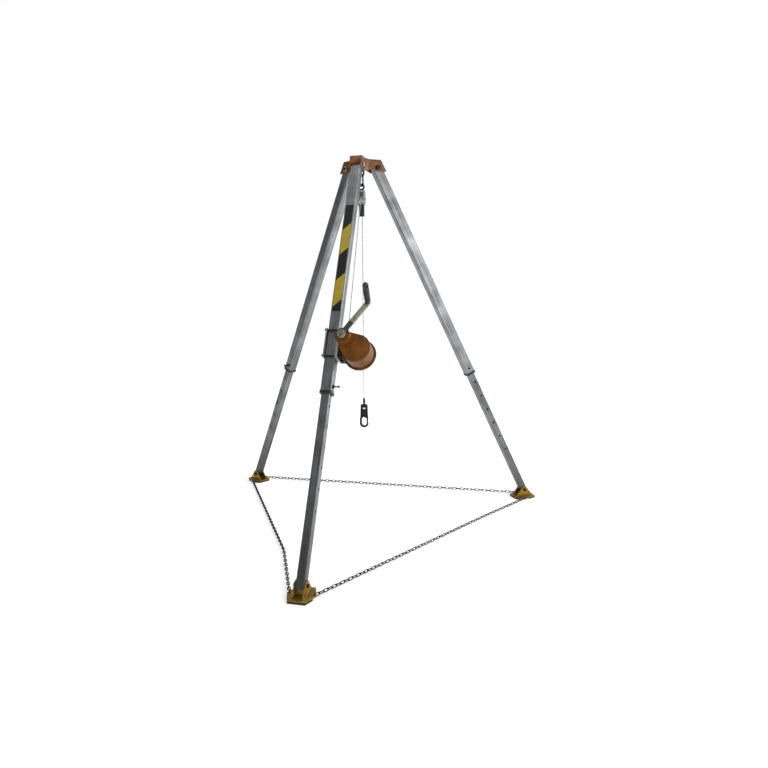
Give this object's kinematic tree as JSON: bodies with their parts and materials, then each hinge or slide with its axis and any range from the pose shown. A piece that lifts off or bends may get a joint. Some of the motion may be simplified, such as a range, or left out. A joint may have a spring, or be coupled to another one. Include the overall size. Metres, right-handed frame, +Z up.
{
  "type": "rescue tripod",
  "caption": "Rescue tripod with telescopic legs under a cast head, a geared hand winch, a wire rope over a pulley block to a snap hook, and chains between the feet.",
  "frame": {"origin": "on the ground, at the middle of the stand's box", "axes": "+Z up; -Y towards the front leg, which carries the winch; +X to the right of someone who faces the front leg"},
  "size_m": [2.0554, 1.78, 2.111],
  "materials": {
    "cast_orange": "orange-brown enamel",
    "black_steel": "black oxide",
    "zinc_steel": "zinc plated",
    "leg_aluminium": "mill finish",
    "shaft_steel": "ground",
    "gear_steel": "machined",
    "gold_steel": "yellow zinc",
    "sole_rubber": "matte",
    "black_nylon": "moulded",
    "grip_black": "moulded",
    "block_grey": "light grey",
    "tape": "black and yellow warning stripes",
    "rope_steel": "galvanised wire rope",
    "bronze": "oiled bronze",
    "arm_grey": "light grey-green"
  },
  "bodies": {
    "head": {"head_casting": "cast_orange", "pivot_bolts": "black_steel", "head_nuts": "zinc_steel", "anchor_eye": "black_steel", "connector": "black_steel", "block_cheeks": "block_grey", "block_eye": "black_steel", "block_axle": "zinc_steel", "block_guard": "black_nylon", "rope_lead": "rope_steel", "rope_fall": "rope_steel", "left_chain": "black_steel", "right_chain": "black_steel", "back_chain": "black_steel"},
    "front_leg": {"front_outer_tube": "leg_aluminium", "front_top_plug": "black_nylon", "front_collar": "black_nylon", "warning_tape": "tape", "winch_clamp": "zinc_steel", "winch_bolts": "black_steel", "winch_frame": "zinc_steel", "winch_cover": "cast_orange", "winch_bushes": "bronze", "rope_fairlead": "black_nylon"},
    "front_lower_leg": {"front_inner_tube": "leg_aluminium"},
    "front_pin": {"front_lock_pin": "black_steel"},
    "front_foot": {"front_foot_shoe": "gold_steel", "front_foot_sole": "sole_rubber", "front_ankle_bolt": "black_steel"},
    "right_leg": {"right_outer_tube": "leg_aluminium", "right_top_plug": "black_nylon", "right_collar": "black_nylon"},
    "right_lower_leg": {"right_inner_tube": "leg_aluminium"},
    "right_pin": {"right_lock_pin": "black_steel"},
    "right_foot": {"right_foot_shoe": "gold_steel", "right_foot_sole": "sole_rubber", "right_ankle_bolt": "black_steel"},
    "left_leg": {"left_outer_tube": "leg_aluminium", "left_top_plug": "black_nylon", "left_collar": "black_nylon"},
    "left_lower_leg": {"left_inner_tube": "leg_aluminium"},
    "left_pin": {"left_lock_pin": "black_steel"},
    "left_foot": {"left_foot_shoe": "gold_steel", "left_foot_sole": "sole_rubber", "left_ankle_bolt": "black_steel"},
    "connector_gate": {"connector_gate": "black_steel"},
    "sheave": {"sheave": "zinc_steel"},
    "drum": {"winch_drum": "gear_steel", "drum_gear": "gear_steel", "drum_shaft": "shaft_steel", "wound_rope": "rope_steel"},
    "crank": {"crank_shaft": "shaft_steel", "pinion": "gear_steel", "ratchet_wheel": "gear_steel", "crank_arm": "arm_grey"},
    "grip": {"crank_grip": "grip_black"},
    "pawl": {"pawl": "gear_steel"},
    "line_end": {"rope_socket": "black_steel"},
    "hook": {"snap_hook": "black_steel"},
    "hook_gate": {"hook_gate": "black_steel"}
  },
  "joints": [
    {"name": "front_fold", "type": "hinge", "parent": "head", "child": "front_leg", "pos_m": [0, 0.18341, 2.05], "axis": [1, 0, 0], "range_deg": [0, 22], "deforming": ["rope_lead", "left_chain", "right_chain"]},
    {"name": "front_shorten", "type": "slide", "parent": "front_leg", "child": "front_lower_leg", "axis": [0, 0.4493, 0.8934], "range_m": [0, 0.6]},
    {"name": "front_pin_pull", "type": "slide", "parent": "front_leg", "child": "front_pin", "axis": [1, 0, 0], "range_m": [0, 0.075]},
    {"name": "front_foot_tilt", "type": "hinge", "parent": "front_lower_leg", "child": "front_foot", "pos_m": [0, -0.81997, 0.055], "axis": [1, 0, 0], "range_deg": [-20, 20]},
    {"name": "right_fold", "type": "hinge", "parent": "head", "child": "right_leg", "pos_m": [0.07708, 0.31691, 2.05], "axis": [-0.5, 0.866, 0], "range_deg": [0, 22], "deforming": ["back_chain"]},
    {"name": "right_shorten", "type": "slide", "parent": "right_leg", "child": "right_lower_leg", "axis": [-0.3891, -0.2247, 0.8934], "range_m": [0, 0.6]},
    {"name": "right_pin_pull", "type": "slide", "parent": "right_leg", "child": "right_pin", "axis": [-0.5, 0.866, 0], "range_m": [0, 0.075]},
    {"name": "right_foot_tilt", "type": "hinge", "parent": "right_lower_leg", "child": "right_foot", "pos_m": [0.94603, 0.8186, 0.055], "axis": [-0.5, 0.866, 0], "range_deg": [-20, 20]},
    {"name": "left_fold", "type": "hinge", "parent": "head", "child": "left_leg", "pos_m": [-0.07708, 0.31691, 2.05], "axis": [-0.5, -0.866, 0], "range_deg": [0, 22]},
    {"name": "left_shorten", "type": "slide", "parent": "left_leg", "child": "left_lower_leg", "axis": [0.3891, -0.2247, 0.8934], "range_m": [0, 0.6]},
    {"name": "left_pin_pull", "type": "slide", "parent": "left_leg", "child": "left_pin", "axis": [-0.5, -0.866, 0], "range_m": [0, 0.075]},
    {"name": "left_foot_tilt", "type": "hinge", "parent": "left_lower_leg", "child": "left_foot", "pos_m": [-0.94603, 0.8186, 0.055], "axis": [-0.5, -0.866, 0], "range_deg": [-20, 20]},
    {"name": "crank_turn", "type": "hinge", "parent": "front_leg", "child": "crank", "pos_m": [0.07011, -0.35517, 1.11269], "axis": [0, -0.8934, 0.4493], "range_deg": [-2520, 0]},
    {"name": "drum_turn", "type": "hinge", "parent": "front_leg", "child": "drum", "pos_m": [0.132, -0.32252, 1.04406], "axis": [0, -0.8934, 0.4493], "range_deg": [0, 740]},
    {"name": "hook_lift", "type": "slide", "parent": "head", "child": "line_end", "axis": [0, 0, 1], "range_m": [0, 0.83], "deforming": ["rope_fall"]},
    {"name": "sheave_turn", "type": "hinge", "parent": "head", "child": "sheave", "pos_m": [0, 0.27241, 1.876], "axis": [0.9933, 0.1158, 0], "range_deg": [0, 1830]},
    {"name": "grip_turn", "type": "hinge", "parent": "crank", "child": "grip", "pos_m": [0.18367, -0.31962, 1.27908], "axis": [0.1181, -0.797, 0.5924], "continuous": true},
    {"name": "pawl_lift", "type": "hinge", "parent": "front_leg", "child": "pawl", "pos_m": [0.09548, -0.35102, 1.12094], "axis": [0, -0.8934, 0.4493], "range_deg": [-8, 0]},
    {"name": "hook_swivel", "type": "hinge", "parent": "line_end", "child": "hook", "pos_m": [-0.00301, 0.29823, 0.679], "axis": [0, 0, 1], "continuous": true},
    {"name": "hook_gate_open", "type": "hinge", "parent": "hook", "child": "hook_gate", "pos_m": [0.01399, 0.29823, 0.603], "axis": [0, 1, 0], "range_deg": [0, 25], "stiffness_Nm_per_rad": 0.4, "springref_deg": -17.19},
    {"name": "connector_gate_open", "type": "hinge", "parent": "head", "child": "connector_gate", "pos_m": [-0.0065, 0.26115, 1.971], "axis": [-0.866, 0.5, 0], "range_deg": [0, 20], "stiffness_Nm_per_rad": 0.4, "springref_deg": -17.19}
  ],
  "couplings": [
    {"joint": "drum_turn", "follows": "crank_turn", "ratio": -0.29167},
    {"joint": "hook_lift", "follows": "crank_turn", "m_per_rad": -0.018812},
    {"joint": "sheave_turn", "follows": "crank_turn", "ratio": -0.72356}
  ]
}
